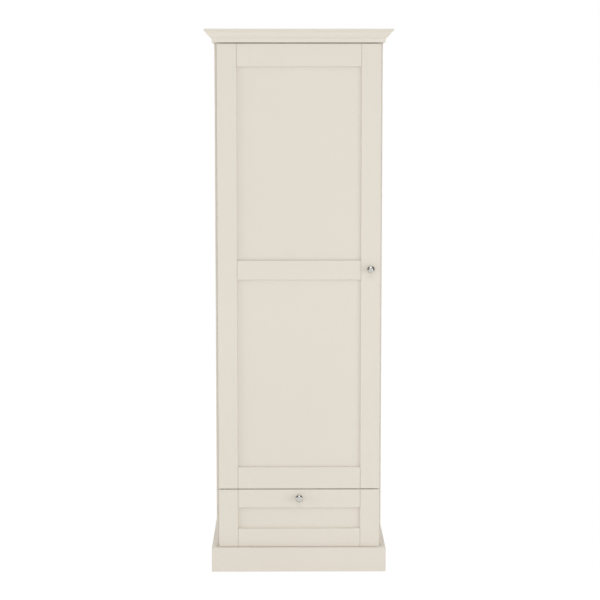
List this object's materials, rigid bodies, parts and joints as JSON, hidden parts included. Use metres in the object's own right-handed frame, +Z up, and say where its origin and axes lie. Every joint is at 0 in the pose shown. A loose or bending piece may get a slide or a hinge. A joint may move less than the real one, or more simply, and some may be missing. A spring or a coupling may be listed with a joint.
{
  "type": "cupboard",
  "caption": "Tall narrow painted cupboard: framed door with recessed panels over a framed drawer, moulded cornice, box plinth, small round metal knobs.",
  "frame": {"origin": "on the floor, at the middle of the overall width and depth", "axes": "+Z up along the height, +Y from the front to the back, +X from the hinge side to the knob side"},
  "size_m": [0.666, 0.578, 1.95],
  "materials": {
    "cream_paint": "satin cream paint on board",
    "panel_paint": "satin cream paint on a flat panel",
    "back_board": "matt painted thin board",
    "box_wood": "clear lacquered pale wood",
    "polished_chrome": "polished",
    "hinge_steel": "nickel plated",
    "runner_steel": "zinc plated"
  },
  "bodies": {
    "carcass": {"side_panel_left": "cream_paint", "side_panel_right": "cream_paint", "base_panel": "cream_paint", "deck_panel": "cream_paint", "top_panel": "cream_paint", "back_panel": "back_board", "shelf_lower": "cream_paint", "shelf_middle": "cream_paint", "shelf_upper": "cream_paint", "shelf_pin_lower_left_front": "hinge_steel", "shelf_pin_lower_left_rear": "hinge_steel", "shelf_pin_lower_right_front": "hinge_steel", "shelf_pin_lower_right_rear": "hinge_steel", "shelf_pin_upper_left_front": "hinge_steel", "shelf_pin_upper_left_rear": "hinge_steel", "shelf_pin_upper_right_front": "hinge_steel", "shelf_pin_upper_right_rear": "hinge_steel", "cornice_front": "cream_paint", "cornice_left": "cream_paint", "cornice_right": "cream_paint", "cornice_board": "cream_paint", "plinth_front": "cream_paint", "plinth_left": "cream_paint", "plinth_right": "cream_paint", "plinth_brace": "cream_paint", "plinth_rear": "cream_paint", "runner_cabinet_left": "runner_steel", "runner_cabinet_right": "runner_steel", "hinge_arm_lower": "hinge_steel", "hinge_arm_middle": "hinge_steel", "hinge_arm_upper": "hinge_steel"},
    "hinge_links": {"hinge_link_lower": "hinge_steel", "hinge_link_middle": "hinge_steel", "hinge_link_upper": "hinge_steel"},
    "door": {"hinge_stile": "cream_paint", "lock_stile": "cream_paint", "top_rail": "cream_paint", "mid_rail": "cream_paint", "bottom_rail": "cream_paint", "upper_panel": "panel_paint", "lower_panel": "panel_paint", "door_knob": "polished_chrome", "hinge_cup_lower": "hinge_steel", "hinge_cup_middle": "hinge_steel", "hinge_cup_upper": "hinge_steel"},
    "runner_middles": {"runner_middle_left": "runner_steel", "runner_middle_right": "runner_steel"},
    "drawer": {"drawer_stile_left": "cream_paint", "drawer_stile_right": "cream_paint", "drawer_top_rail": "cream_paint", "drawer_bottom_rail": "cream_paint", "drawer_panel": "panel_paint", "drawer_side_left": "box_wood", "drawer_side_right": "box_wood", "drawer_box_front": "box_wood", "drawer_box_back": "box_wood", "drawer_box_bottom": "box_wood", "drawer_knob": "polished_chrome", "runner_drawer_left": "runner_steel", "runner_drawer_right": "runner_steel"}
  },
  "joints": [
    {"name": "hinge_link_swing", "type": "hinge", "parent": "carcass", "child": "hinge_links", "pos_m": [-0.259, -0.2405, 0], "axis": [0, 0, 1], "range_deg": [0, 29.4]},
    {"name": "door_swing", "type": "hinge", "parent": "hinge_links", "child": "door", "pos_m": [-0.278, -0.2372, 0], "axis": [0, 0, -1], "range_deg": [0, 132]},
    {"name": "drawer_slide", "type": "slide", "parent": "carcass", "child": "drawer", "axis": [0, -1, 0], "range_m": [0, 0.4]},
    {"name": "runner_middle_slide", "type": "slide", "parent": "carcass", "child": "runner_middles", "axis": [0, -1, 0], "range_m": [0, 0.2001]}
  ],
  "couplings": [
    {"joint": "hinge_link_swing", "follows": "door_swing", "ratio": 0.2222},
    {"joint": "runner_middle_slide", "follows": "drawer_slide", "ratio": 0.5}
  ]
}
